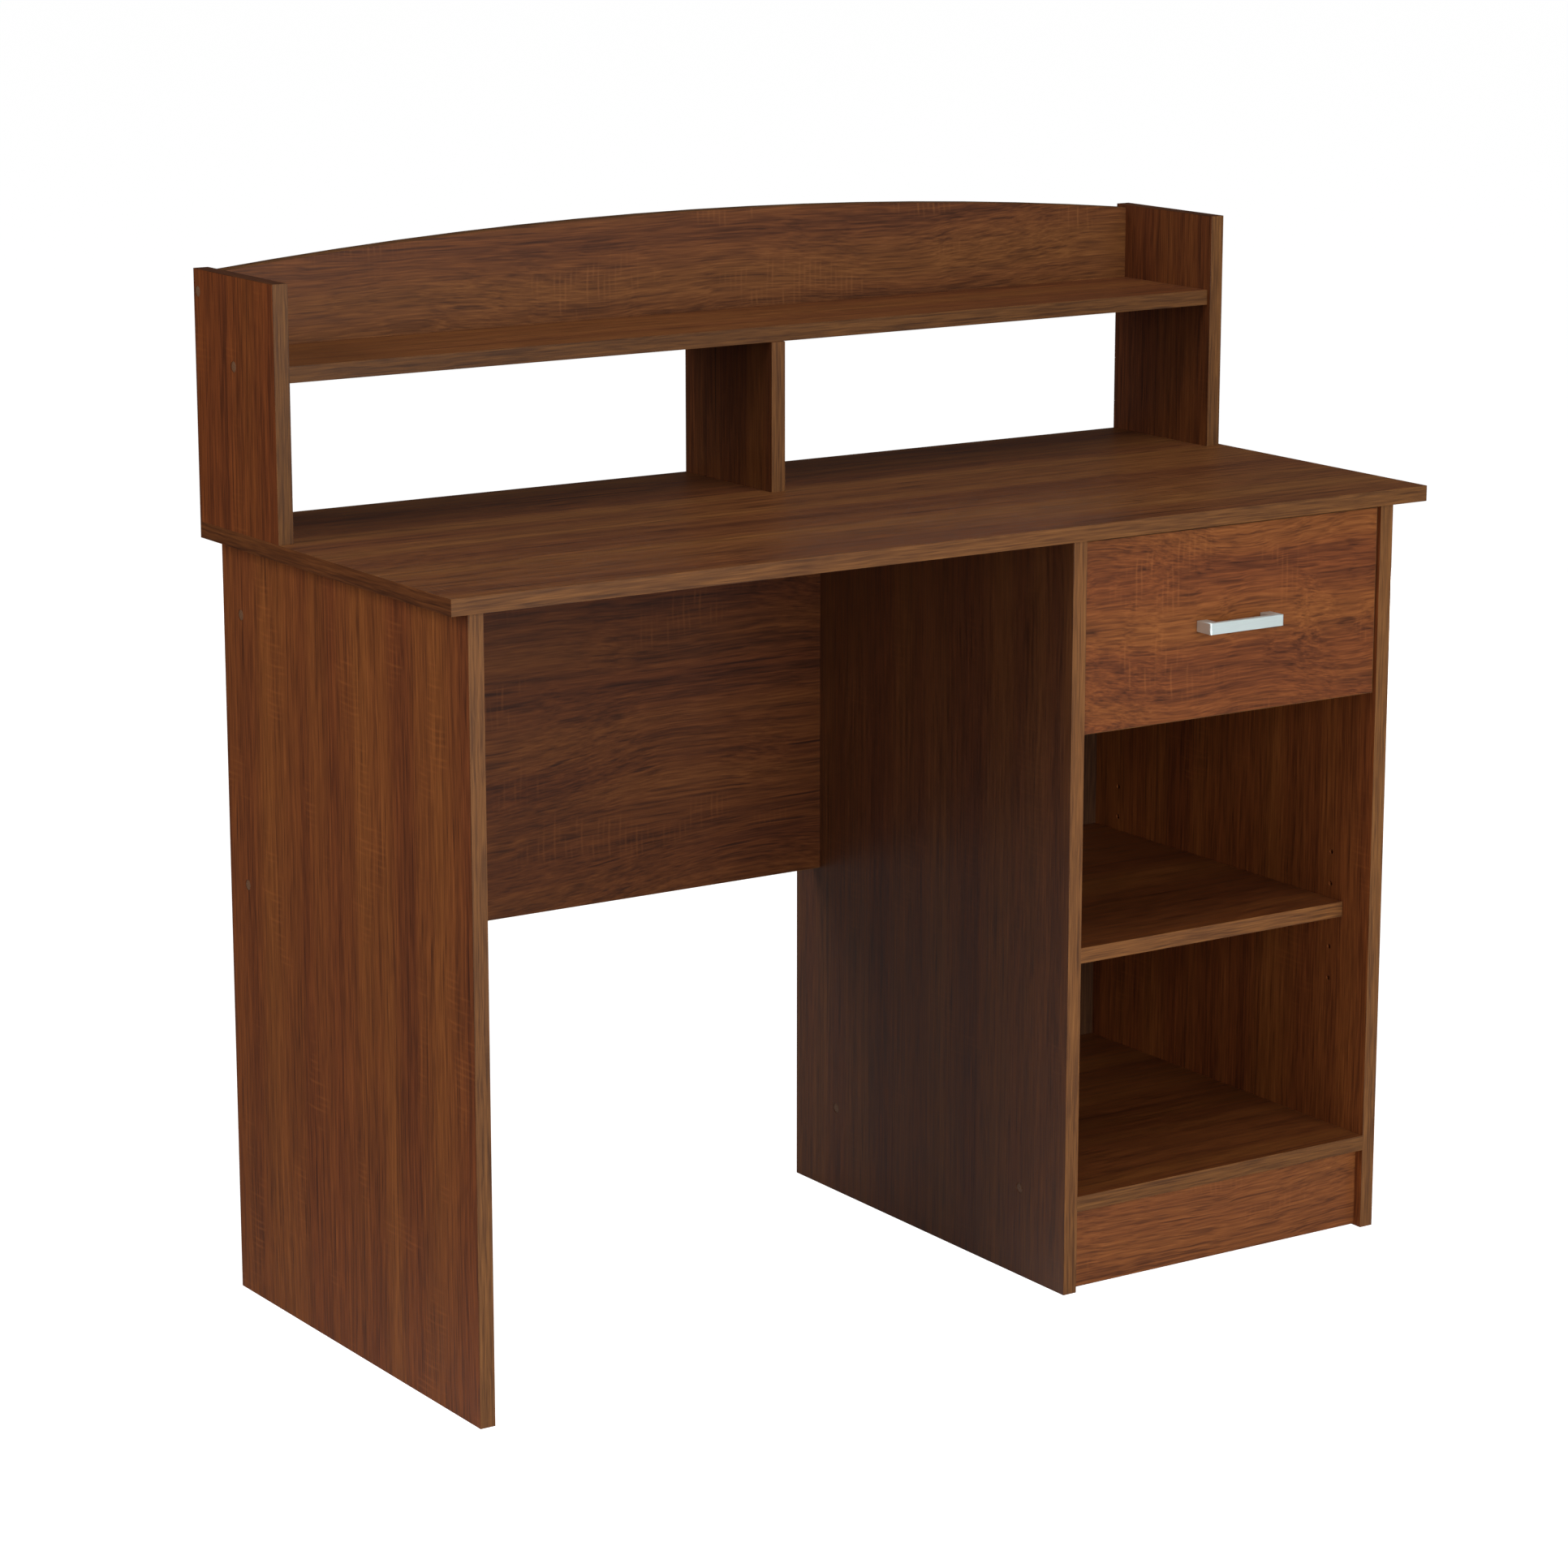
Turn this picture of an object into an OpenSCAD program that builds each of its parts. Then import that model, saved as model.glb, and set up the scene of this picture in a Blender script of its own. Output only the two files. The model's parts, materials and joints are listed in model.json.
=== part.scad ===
// Flat-pack writing desk with a low hutch, one inset drawer and two open compartments.
// Millimetres. X runs left to right, Y front to back, Z up from the floor. The origin is on
// the floor under the middle of the whole desk, drawer handle included.

/* [Desktop] */
// Width of the desktop
top_w = 1072; // [890:1:1300]
// Depth of the desktop
top_d = 465; // [385:1:560]
// Height of the working surface above the floor
top_h = 740; // [690:1:890]
// How far the desktop stands out past the left leg panel
overhang_left = 21; // [17:1:60]
// How far the desktop stands out past the pedestal on the right
overhang_right = 34; // [24:1:60]
// How far the desktop stands out past the front edges of the panels
overhang_front = 9; // [5:1:30]

/* [Boards] */
// Thickness of the laminated boards
board = 15; // [14:0.5:19]
// Thickness of the edge band
band_t = 0.5; // [0.4:0.1:1]
// Thickness of the hardboard in the pedestal back and the drawer bottom
hardboard_t = 3; // [2.5:0.5:4]
// Thickness of the drawer box boards
drawer_board = 12; // [12:0.5:15]

/* [Knee hole] */
// Height of the modesty panel
modesty_h = 393; // [200:1:480]
// Gap between the modesty panel and the back edges of the legs
modesty_setback = 27; // [0:1:100]
// Distance of the modesty panel's screws from its upper and lower edges
modesty_screw_inset = 69; // [30:1:90]

/* [Pedestal] */
// Outside width of the pedestal
pedestal_w = 382; // [318:1:460]
// Height of the bottom panel's upper face
bottom_h = 95; // [60:1:150]
// How far the plinth stands behind the front edges of the panels
plinth_setback = 10; // [0:1:50]
// Gap between the plinth and the floor
plinth_gap = 1.5; // [0:0.5:10]
// Distance of the bottom panel's screws from its front and back edges
bottom_screw_inset = 72; // [40:1:100]
// Gap behind the hardboard back panel
back_setback = 13.5; // [8:0.5:20]

/* [Loose shelf] */
// Height of the shelf's upper face
shelf_h = 325; // [230:1:400]
// How far the shelf stands behind the front edges of the panels
shelf_setback = 39; // [5:1:80]
// Gap at each end of the shelf
shelf_end_gap = 1; // [0.5:0.5:3]
// Vertical pitch of the shelf pin holes
pin_pitch = 32; // [25:1:40]
// Diameter of a shelf pin hole
pin_hole_d = 5; // [4:0.5:6]

/* [Hutch] */
// Height of the hutch sides
hutch_h = 232; // [195:1:330]
// Depth of the hutch sides
hutch_d = 155; // [125:1:220]
// Height of the hutch shelf's upper face above the desktop
hutch_shelf_h = 158; // [110:1:170]
// How far the hutch shelf stands behind the front edges of the hutch sides
hutch_shelf_setback = 4.5; // [0:0.5:20]
// How far the divider stands behind the front edges of the hutch sides
divider_setback = 2; // [0:0.5:20]
// How far the right hutch side stands in from the desktop's right edge
hutch_inset_right = 6; // [0:1:15]
// How far the ends of the arched back lie below the top of the hutch sides
arch_end_drop = 3; // [0:0.5:20]
// Rise of the arched back at its middle, above its ends
arch_rise = 26; // [10:1:60]

/* [Drawer] */
// Height of the drawer front
drawer_front_h = 181; // [150:1:220]
// How far the drawer front stands behind the front edges of the panels
drawer_setback = 3; // [0:0.5:8]
// Gap between the drawer front and the panels beside it
drawer_side_gap = 2; // [1:0.5:4]
// Gap between the drawer front and the desktop
drawer_top_gap = 3; // [2:0.5:6]
// Height of the drawer's sides
drawer_side_h = 120; // [100:1:130]
// Height of the drawer box above the lower edge of its front
drawer_lift = 20; // [10:1:25]

/* [Drawer slides] */
// Space that a slide takes between the drawer box and the panel
slide_gap = 12.5; // [12.5:0.1:14]
// Thickness of the slides' sheet steel
sheet = 1.2; // [1:0.1:1.4]
// Radius of the slides' rollers
roller_r = 8.5; // [7:0.5:9.5]
// Distance of a roller's axle from the end of its slide member
roller_inset = 12; // [11:1:20]
// Part of the slide's length that stays in the desk when the drawer is open
slide_kept = 100; // [80:1:140]

/* [Handle] */
// Length of the handle
handle_l = 88; // [60:1:160]
// Height of the handle
handle_h = 10.5; // [8:0.5:16]
// How far the handle stands out from the drawer front
handle_reach = 21; // [18:1:35]
// Thickness of the handle's grip bar
handle_bar = 7; // [5:0.5:9]
// Width of each handle leg
handle_leg = 12; // [9:0.5:18]

/* [Fasteners] */
// Radial clearance round each fastener
fit = 0.05; // [0.02:0.01:0.1]
// Length of the connecting screws
confirmat_l = 50; // [40:1:50]
// How deep the screw heads that show are sunk, so that a cap covers each
cap_sink = 1.2; // [1:0.1:2]
// Diameter of the dowels
dowel_d = 8; // [6:1:8]
// Length of the dowels
dowel_l = 30; // [24:1:35]
// Distance from a board's end to the middle of its cam lock
cam_offset = 34; // [30:1:40]
// Diameter of the cam locks in the thick boards
cam_d = 15; // [12:1:16]

/* [Hidden] */
$fn = 48;

// Finishes.
walnut = [0.36, 0.19, 0.10];
walnut_edge = [0.42, 0.29, 0.19];
brown_hardboard = [0.36, 0.23, 0.14];
satin_metal = [0.74, 0.78, 0.80];
zinc = [0.70, 0.70, 0.68];
white_enamel = [0.88, 0.87, 0.84];
white_nylon = [0.92, 0.92, 0.90];
beech = [0.80, 0.66, 0.46];
brown_plastic = [0.25, 0.15, 0.09];

// How far a cut runs past the face that it opens.
over = 1;

// Main planes. The handle stands out furthest at the front.
panel_d = top_d - overhang_front;
under_top = top_h - board;
overall_d = max(top_d, panel_d - drawer_setback + handle_reach);
x_left = -top_w / 2;
x_right = top_w / 2;
y_back = overall_d / 2;
y_front = y_back - panel_d;

// Boards are boxes, each given by its lowest and its highest corner.
leg_x = x_left + overhang_left;
pedestal_x = x_right - overhang_right - pedestal_w;
wall_left = pedestal_x + board;
wall_right = pedestal_x + pedestal_w - board;
modesty_z = under_top - modesty_h;
modesty_y = y_back - modesty_setback - board;
back_y = y_back - back_setback - hardboard_t;
desktop_box = [[x_left, y_back - top_d, under_top], [x_right, y_back, top_h]];
leg_box = [[leg_x, y_front, 0], [leg_x + board, y_back, under_top]];
pedestal_left_box = [[pedestal_x, y_front, 0], [wall_left, y_back, under_top]];
pedestal_right_box = [[wall_right, y_front, 0], [wall_right + board, y_back, under_top]];
modesty_box = [[leg_x + board, modesty_y, modesty_z], [pedestal_x, modesty_y + board, under_top]];
bottom_box = [[wall_left, y_front, bottom_h - board], [wall_right, y_back, bottom_h]];
plinth_box = [[wall_left, y_front + plinth_setback, plinth_gap],
              [wall_right, y_front + plinth_setback + board, bottom_h - board]];
shelf_back_gap = 1.5;
shelf_box = [[wall_left + shelf_end_gap, y_front + shelf_setback, shelf_h - board],
             [wall_right - shelf_end_gap, back_y - shelf_back_gap, shelf_h]];

// Which edges of a board are banded: left, right, front, back, bottom, top.
all_round = [1, 1, 1, 1, 0, 0];
front_and_back = [0, 0, 1, 1, 0, 0];
front_only = [0, 0, 1, 0, 0, 0];
bottom_only = [0, 0, 0, 0, 1, 0];
front_back_top = [0, 0, 1, 1, 0, 1];
drawer_front_edges = [1, 1, 0, 0, 1, 1];

// Grooves that hold the hardboard.
groove_slack = 0.1;
groove_depth = 5;

// Shelf pins: a shank in the wall, and a stouter nose under the shelf.
pin_nose_d = 6;
pin_nose_l = 8;
pin_shank_l = 9;
pin_z = shelf_h - board - pin_nose_d / 2;
pin_front_inset = 20;
pin_back_inset = 38;
pin_ys = [shelf_box[0][1] + pin_front_inset, back_y - pin_back_inset];

// Hutch.
hutch_y = y_back - hutch_d;
hutch_top = top_h + hutch_h;
hutch_shelf_z = top_h + hutch_shelf_h;
hutch_left_box = [[x_left, hutch_y, top_h], [x_left + board, y_back, hutch_top]];
hutch_right_x = x_right - hutch_inset_right - board;
hutch_right_box = [[hutch_right_x, hutch_y, top_h], [hutch_right_x + board, y_back, hutch_top]];
hutch_shelf_box = [[x_left + board, hutch_y + hutch_shelf_setback, hutch_shelf_z - board],
                   [hutch_right_x, y_back, hutch_shelf_z]];
hutch_mid_x = (x_left + board + hutch_right_x) / 2;
divider_box = [[hutch_mid_x - board / 2, hutch_y + divider_setback, top_h],
               [hutch_mid_x + board / 2, y_back, hutch_shelf_z - board]];
arch_span = hutch_right_x - x_left - board;
arch_end_h = hutch_top - arch_end_drop - hutch_shelf_z;
arch_r = (pow(arch_span / 2, 2) + pow(arch_rise, 2)) / (2 * arch_rise);
arch_y = y_back - board;
arch_screw_z = hutch_top - 20.5;

// Drawer. Its box hangs between two slides.
drawer_y = y_front + drawer_setback;
drawer_top_z = under_top - drawer_top_gap;
drawer_low_z = drawer_top_z - drawer_front_h;
drawer_front_box = [[wall_left + drawer_side_gap, drawer_y, drawer_low_z],
                    [wall_right - drawer_side_gap, drawer_y + board, drawer_top_z]];
box_y = drawer_y + board;
box_z = drawer_low_z + drawer_lift;
slide_step = 50;
slide_front_gap = 2;
slide_l = slide_step * floor((back_y - box_y - slide_front_gap) / slide_step);
drawer_travel = slide_l - slide_kept;
box_left = wall_left + slide_gap;
box_right = wall_right - slide_gap;
bottom_lift = 10;
drawer_bottom_z = box_z + bottom_lift;
box_back_y = box_y + slide_l;
side_left_box = [[box_left, box_y, box_z],
                 [box_left + drawer_board, box_back_y, box_z + drawer_side_h]];
side_right_box = [[box_right - drawer_board, box_y, box_z],
                  [box_right, box_back_y, box_z + drawer_side_h]];
drawer_back_box = [[box_left + drawer_board, box_back_y - drawer_board,
                    drawer_bottom_z + hardboard_t + groove_slack],
                   [box_right - drawer_board, box_back_y, box_z + drawer_side_h]];

// Slides. u runs from the pedestal wall towards the drawer, z up from the rail's underside.
roller_gap = 0.3;
roller_w = 5.2;
roller_u = 3.5;
axle_r = 2.5;
axle_gap = 0.06;
rail_reach = slide_gap - 2.1;
roller_z = sheet + roller_gap + roller_r;
runner_top_u = roller_u + 0.2;
runner_z = roller_z + roller_r + roller_gap;
rail_lip = sheet + 1.2;
rail_h = runner_z + sheet + 0.6 + rail_lip;
runner_drop = 2.8;
rail_z = box_z + runner_drop;
rail_y = box_y + slide_front_gap;
rail_roller_y = rail_y + roller_inset;
runner_roller_y = box_back_y - roller_inset;
slide_screw_head = 1.1;
rail_screw_z = roller_z;
runner_screw_z = roller_z + 4;
rivet_h = 0.6;
rivet_r = axle_r + 1;
stop_h = 4;
slide_screw_share = [0.15, 0.5, 0.82];

// Spare slots and holes in the slides, between their screws.
slide_slot = [4.2, 14];
slide_slot_share = [0.32, 0.66];
slide_hole_d = 5;
slide_hole_share = [0.24, 0.41, 0.74];

// Handle screws run through the drawer front into the handle's legs.
handle_screw_d = 4;
handle_screw_bite = 8;
handle_x = (wall_left + wall_right) / 2;
handle_z = (drawer_low_z + drawer_top_z) / 2 - 2;
handle_pitch = handle_l - handle_leg;

// Connecting screws: a flat head, a plain neck as long as the first board, and a core.
confirmat_head = 10;
confirmat_neck = 7;
confirmat_core = 5;
confirmat_socket = 4;
confirmat_socket_l = 3;
drawer_screw_l = 40;
drawer_screw_head = 7;
drawer_screw_neck = 5;
drawer_screw_core = 3.5;

// Screw caps: a domed disc just below the board's face, with a plug in the head's socket.
cap_gap = 0.1;
cap_dome = 0.5;
cap_plug_l = 2;

// Cam locks and their bolts.
bolt_thread_l = 11;
bolt_d = 5;
bolt_head_d = 6.8;
bolt_hole_d = 7.4;
drawer_cam_d = 12;
drawer_cam_offset = 24;
cam_inset = 60;
cam_ys = [y_front + cam_inset, y_back - cam_inset];
top_dowel_ys = [y_front + 2 * cam_inset, y_back - 2 * cam_inset];
drawer_cam_zs = [box_z + 34, box_z + drawer_side_h - 24];

// Corner blocks behind the plinth.
block_w = 24;
block_side = 20;
block_t = 4;
block_screw_d = 3.5;
block_screw_l = 12;
block_xs = [wall_left + pedestal_w / 4, wall_right - pedestal_w / 4];
block_y = plinth_box[1][1];
block_z = bottom_h - board;

// Shared shapes ---------------------------------------------------------------------------

// Children turned so that +Z points along the axis dir, and moved to p.
module aim(p, dir) {
    turn = dir == "x" ? [0, 90, 0] : dir == "-x" ? [0, -90, 0]
         : dir == "y" ? [-90, 0, 0] : dir == "-y" ? [90, 0, 0]
         : dir == "-z" ? [180, 0, 0] : [0, 0, 0];
    translate(p) rotate(turn) children();
}

module span(a, b) {
    translate(a) cube(b - a);
}

function inside_bands(box, bands) = [
    box[0] + band_t * [bands[0], bands[2], bands[4]],
    box[1] - band_t * [bands[1], bands[3], bands[5]]
];

// A board without its edge bands.
module core(box, bands) {
    inner = inside_bands(box, bands);
    span(inner[0], inner[1]);
}

// The edge bands of a board. Front and back strips run the full width, the rest fit between.
module strips(box, bands) {
    a = box[0];
    b = box[1];
    inner = inside_bands(box, bands);
    i = inner[0];
    j = inner[1];
    if (bands[2]) span(a, [b[0], i[1], b[2]]);
    if (bands[3]) span([a[0], j[1], a[2]], b);
    if (bands[0]) span([a[0], i[1], a[2]], [i[0], j[1], b[2]]);
    if (bands[1]) span([j[0], i[1], a[2]], [b[0], j[1], b[2]]);
    if (bands[4]) span([i[0], i[1], a[2]], [j[0], j[1], i[2]]);
    if (bands[5]) span([i[0], i[1], j[2]], [j[0], j[1], b[2]]);
}

// A screw's outline from its head at z = 0 into the wood, grown by g and drawn out by o.
module screw_form(l, head, neck, core_d, neck_l, g = 0, o = 0) {
    rim = 1;
    cone = (head - neck) / 2;
    translate([0, 0, -o]) cylinder(d = head + 2 * g, h = rim + o);
    translate([0, 0, rim]) cylinder(d1 = head + 2 * g, d2 = neck + 2 * g, h = cone);
    cylinder(d = neck + 2 * g, h = neck_l);
    cylinder(d = core_d + 2 * g, h = l + o);
}

module hex_socket(width, depth) {
    translate([0, 0, -over]) cylinder(d = width / cos(30), h = depth + over, $fn = 6);
}

module confirmat() {
    difference() {
        screw_form(confirmat_l, confirmat_head, confirmat_neck, confirmat_core, board);
        hex_socket(confirmat_socket, confirmat_socket_l);
    }
}

module confirmat_drill() {
    screw_form(confirmat_l, confirmat_head, confirmat_neck, confirmat_core, board, fit, over);
}

// A connecting screw whose head is sunk under a cap, what is drilled for it, and its cap.
module capped_confirmat() {
    translate([0, 0, cap_sink]) confirmat();
}

module capped_drill() {
    translate([0, 0, cap_sink])
        screw_form(confirmat_l, confirmat_head, confirmat_neck, confirmat_core, board, fit,
                   cap_sink + over);
}

module screw_cap() {
    r = confirmat_head / 2;
    flat = 0.4;
    rotate_extrude() polygon(concat(
        [[0, cap_sink], [0, cap_gap]],
        [for (t = [flat, 0.6, 0.8, 1]) [r * t, cap_gap + cap_dome * pow((t - flat) / (1 - flat), 2)]],
        [[r, cap_sink]]));
    translate([0, 0, cap_sink - cap_gap])
        cylinder(d = (confirmat_socket - 2 * fit) / cos(30), h = cap_gap + cap_plug_l, $fn = 6);
}

// The small connecting screw of the drawer box.
module box_screw() {
    difference() {
        screw_form(drawer_screw_l, drawer_screw_head, drawer_screw_neck, drawer_screw_core,
                   drawer_board);
        hex_socket(3, 2.5);
    }
}

module box_screw_drill() {
    screw_form(drawer_screw_l, drawer_screw_head, drawer_screw_neck, drawer_screw_core,
               drawer_board, fit, over);
}

// A dowel half in each board, its middle at z = 0 and its ends bevelled.
module dowel() {
    bevel = 1;
    for (m = [0, 1]) mirror([0, 0, m]) {
        cylinder(d = dowel_d, h = dowel_l / 2 - bevel);
        translate([0, 0, dowel_l / 2 - bevel])
            cylinder(d1 = dowel_d, d2 = dowel_d - 2 * bevel, h = bevel);
    }
}

module dowel_drill() {
    translate([0, 0, -dowel_l / 2 - fit]) cylinder(d = dowel_d + 2 * fit, h = dowel_l + 2 * fit);
}

// A dowel that enters a face by 10 mm and an end by the rest, its shoulder at z = 0.
face_bite = 10;
module end_dowel() {
    translate([0, 0, dowel_l / 2 - face_bite]) dowel();
}

module end_dowel_drill() {
    translate([0, 0, dowel_l / 2 - face_bite]) dowel_drill();
}

// A cam lock sunk in a face at z = 0. Its bolt comes in along +X at half the board's depth.
module cam_lock(d, thickness) {
    depth = thickness - 2.8;
    cross = [d * 0.55, 1.6, 2.4];
    difference() {
        cylinder(d = d - 2 * fit, h = depth);
        // Room for the bolt's head, open towards the bolt.
        translate([-bolt_head_d / 2 - 0.2, -bolt_head_d / 2 - 0.2, (thickness - bolt_head_d) / 2 - 0.2])
            cube([d, bolt_head_d + 0.4, bolt_head_d + 0.4]);
        for (a = [0, 90]) rotate(a + 45)
            translate([-cross[0] / 2, -cross[1] / 2, -over]) cube([cross[0], cross[1], cross[2] + over]);
    }
}

module cam_drill(d, thickness) {
    translate([0, 0, -over]) cylinder(d = d, h = thickness - 2.7 + over);
}

// A cam bolt: its thread goes in above z = 0, its head hangs at z = -reach.
module cam_bolt(reach) {
    neck = 3.6;
    cylinder(d = bolt_d, h = bolt_thread_l);
    translate([0, 0, -2]) cylinder(d = bolt_head_d, h = 2);
    translate([0, 0, -reach]) cylinder(d = neck, h = reach - 1);
    translate([0, 0, -reach + 9]) cylinder(d = bolt_d, h = reach - 10);
    translate([0, 0, -reach]) sphere(d = bolt_head_d);
}

module bolt_thread_drill() {
    cylinder(d = bolt_d + 2 * fit, h = bolt_thread_l + 0.5);
}

module bolt_way_drill(reach) {
    translate([0, 0, -reach]) cylinder(d = bolt_hole_d, h = reach + over);
}

// Hardware positions ----------------------------------------------------------------------

// Children at every place where the desktop is cammed to a standing panel. The cam's face is
// on the panel's inner side, at the wall.
module at_top_cams(faces = [leg_x + board, wall_left, wall_right], signs = [-1, -1, 1]) {
    for (i = [0:len(faces) - 1], y = cam_ys)
        translate([faces[i], y, under_top]) mirror([signs[i] > 0 ? 0 : 1, 0, 0]) children();
}

module at_top_dowels() {
    for (x = [leg_x, pedestal_x, wall_right], y = top_dowel_ys)
        translate([x + board / 2, y, under_top]) children();
    for (x = [1, 2] / 3)
        translate([leg_x + board + x * (pedestal_x - leg_x - board), modesty_y + board / 2, under_top])
            children();
}

// Through the left leg, and through the pedestal's left panel from inside.
module at_modesty_screws() {
    for (z = [modesty_z + modesty_screw_inset, under_top - modesty_screw_inset]) {
        aim([leg_x, modesty_y + board / 2, z], "x") children();
        aim([wall_left, modesty_y + board / 2, z], "-x") children();
    }
}

module at_bottom_screws() {
    for (y = [y_front + bottom_screw_inset, y_back - bottom_screw_inset]) {
        aim([pedestal_x, y, bottom_h - board / 2], "x") children();
        aim([wall_right + board, y, bottom_h - board / 2], "-x") children();
    }
}

module at_plinth_dowels() {
    y = y_front + plinth_setback + board / 2;
    for (z = [0.3, 0.7] * (bottom_h - board)) {
        aim([wall_left, y, z], "x") children();
        aim([wall_right, y, z], "-x") children();
    }
}

// Shelf pin places on the two walls, with the hole's axis pointing into the pedestal.
module at_pins(rows) {
    for (y = pin_ys, k = rows) {
        aim([wall_left, y, pin_z + k * pin_pitch], "x") children();
        aim([wall_right, y, pin_z + k * pin_pitch], "-x") children();
    }
}

module at_hutch_side_screws() {
    shelf_y = (hutch_shelf_box[0][1] + y_back) / 2;
    for (p = [[shelf_y, hutch_shelf_z - board / 2], [arch_y + board / 2, arch_screw_z]]) {
        aim([x_left, p[0], p[1]], "x") children();
        aim([hutch_right_x + board, p[0], p[1]], "-x") children();
    }
}

// Up through the desktop into the hutch's three uprights.
module at_hutch_foot_screws() {
    for (x = [x_left + board / 2, hutch_mid_x, hutch_right_x + board / 2], y = [1, 3] / 4)
        aim([x, hutch_y + y * hutch_d, under_top], "z") children();
}

// Up through the hutch shelf into the arched back.
module at_arch_screws() {
    for (k = [-3, -1, 1, 3])
        aim([hutch_mid_x + k * arch_span / 8, arch_y + board / 2, hutch_shelf_z - board], "z")
            children();
}

module at_hutch_dowels() {
    for (y = [0.2, 0.8]) {
        aim([x_left + board, hutch_y + y * hutch_d, hutch_shelf_z - board / 2], "x") children();
        aim([hutch_right_x, hutch_y + y * hutch_d, hutch_shelf_z - board / 2], "-x") children();
        aim([hutch_mid_x, hutch_y + y * hutch_d, hutch_shelf_z - board], "-z") children();
    }
    aim([x_left + board, arch_y + board / 2, hutch_shelf_z + board], "x") children();
    aim([hutch_right_x, arch_y + board / 2, hutch_shelf_z + board], "-x") children();
}

// Where a cam in the drawer's side meets its bolt in the drawer's front.
module at_drawer_cams() {
    for (z = drawer_cam_zs) {
        translate([box_left + drawer_board, box_y, z]) children();
        translate([box_right - drawer_board, box_y, z]) mirror([1, 0, 0]) children();
    }
}

module at_drawer_back_screws() {
    for (z = [drawer_back_box[0][2] + 28, drawer_back_box[1][2] - 20]) {
        aim([box_left, box_back_y - drawer_board / 2, z], "x") children();
        aim([box_right, box_back_y - drawer_board / 2, z], "-x") children();
    }
}

// Children in a slide's own frame: x is u, from the pedestal wall towards the drawer.
module on_side(side) {
    if (side == "left") translate([wall_left, 0, rail_z]) children();
    else translate([wall_right, 0, rail_z]) mirror([1, 0, 0]) children();
}

module at_rail_screws() {
    for (s = slide_screw_share) aim([sheet, rail_y + s * slide_l, rail_screw_z], "-x") children();
}

module at_runner_screws() {
    for (s = slide_screw_share)
        aim([slide_gap - sheet, box_y + s * slide_l - 10, runner_screw_z], "x") children();
}

module at_handle_screws() {
    for (k = [-1, 1])
        aim([handle_x + k * handle_pitch / 2, box_y, handle_z], "-y") children();
}

// Desktop, leg and modesty panel ------------------------------------------------------------

module desktop() {
    color(walnut) difference() {
        core(desktop_box, all_round);
        at_top_cams() translate([board / 2, 0, 0]) bolt_thread_drill();
        at_top_dowels() end_dowel_top_drill();
        at_hutch_foot_screws() confirmat_drill();
    }
}

// The desktop's dowels stand in the panels' ends and enter the desktop by 10 mm.
module end_dowel_top() {
    aim([0, 0, 0], "-z") end_dowel();
}

module end_dowel_top_drill() {
    aim([0, 0, 0], "-z") end_dowel_drill();
}

module desktop_edge_bands() {
    color(walnut_edge) strips(desktop_box, all_round);
}

// A standing panel, with everything that the desktop joint drills in it.
module standing_panel(box, bands) {
    difference() {
        core(box, bands);
        at_top_cams() {
            translate([board / 2, 0, 0]) bolt_way_drill(cam_offset);
            translate([0, 0, -cam_offset]) rotate([0, 90, 0]) cam_drill(cam_d, board);
        }
        at_top_dowels() end_dowel_top_drill();
        children();
    }
}

module left_leg_panel() {
    color(walnut) standing_panel(leg_box, front_and_back) at_modesty_screws() capped_drill();
}

module modesty_panel() {
    color(walnut) difference() {
        core(modesty_box, bottom_only);
        at_modesty_screws() capped_drill();
        at_top_dowels() end_dowel_top_drill();
    }
}

module leg_edge_bands() {
    color(walnut_edge) {
        strips(leg_box, front_and_back);
        strips(modesty_box, bottom_only);
    }
}

// Pedestal ----------------------------------------------------------------------------------

// The groove for the hardboard back, round three sides of the pedestal.
module back_groove() {
    span([wall_left - groove_depth, back_y, bottom_h - groove_depth],
         [wall_right + groove_depth, y_back - back_setback + groove_slack, under_top + over]);
}

module pin_hole_drill() {
    translate([0, 0, -pin_shank_l - 1]) cylinder(d = pin_hole_d, h = pin_shank_l + 1 + over);
}

module rail_screw_drill() {
    cylinder(d = block_screw_d - 0.5 + 2 * fit, h = 13);
}

// What is cut in both of the pedestal's side panels.
module pedestal_side_cuts() {
    back_groove();
    at_bottom_screws() capped_drill();
    at_plinth_dowels() end_dowel_drill();
    at_pins([-2:2]) pin_hole_drill();
    for (side = ["left", "right"]) on_side(side) at_rail_screws() rail_screw_drill();
}

module pedestal_left_panel() {
    color(walnut) standing_panel(pedestal_left_box, front_and_back) {
        pedestal_side_cuts();
        at_modesty_screws() capped_drill();
    }
}

module pedestal_right_panel() {
    color(walnut) standing_panel(pedestal_right_box, front_and_back) pedestal_side_cuts();
}

module pedestal_bottom_panel() {
    color(walnut) difference() {
        core(bottom_box, front_and_back);
        back_groove();
        at_bottom_screws() capped_drill();
        for (x = block_xs) aim([x, block_y + block_side / 2 + 1, block_z], "z") block_screw_drill();
    }
}

module plinth() {
    color(walnut) difference() {
        core(plinth_box, bottom_only);
        at_plinth_dowels() end_dowel_drill();
        for (x = block_xs) aim([x, block_y, block_z - block_side / 2 - 1], "-y") block_screw_drill();
    }
}

module pedestal_back_panel() {
    side = groove_depth - 0.3;
    color(brown_hardboard)
        span([wall_left - side, back_y, bottom_h - side],
             [wall_right + side, back_y + hardboard_t, under_top]);
}

module pedestal_edge_bands() {
    color(walnut_edge) {
        strips(pedestal_left_box, front_and_back);
        strips(pedestal_right_box, front_and_back);
        strips(bottom_box, front_and_back);
        strips(plinth_box, bottom_only);
    }
}

module adjustable_shelf() {
    color(walnut) core(shelf_box, front_only);
}

module shelf_edge_band() {
    color(walnut_edge) strips(shelf_box, front_only);
}

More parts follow.
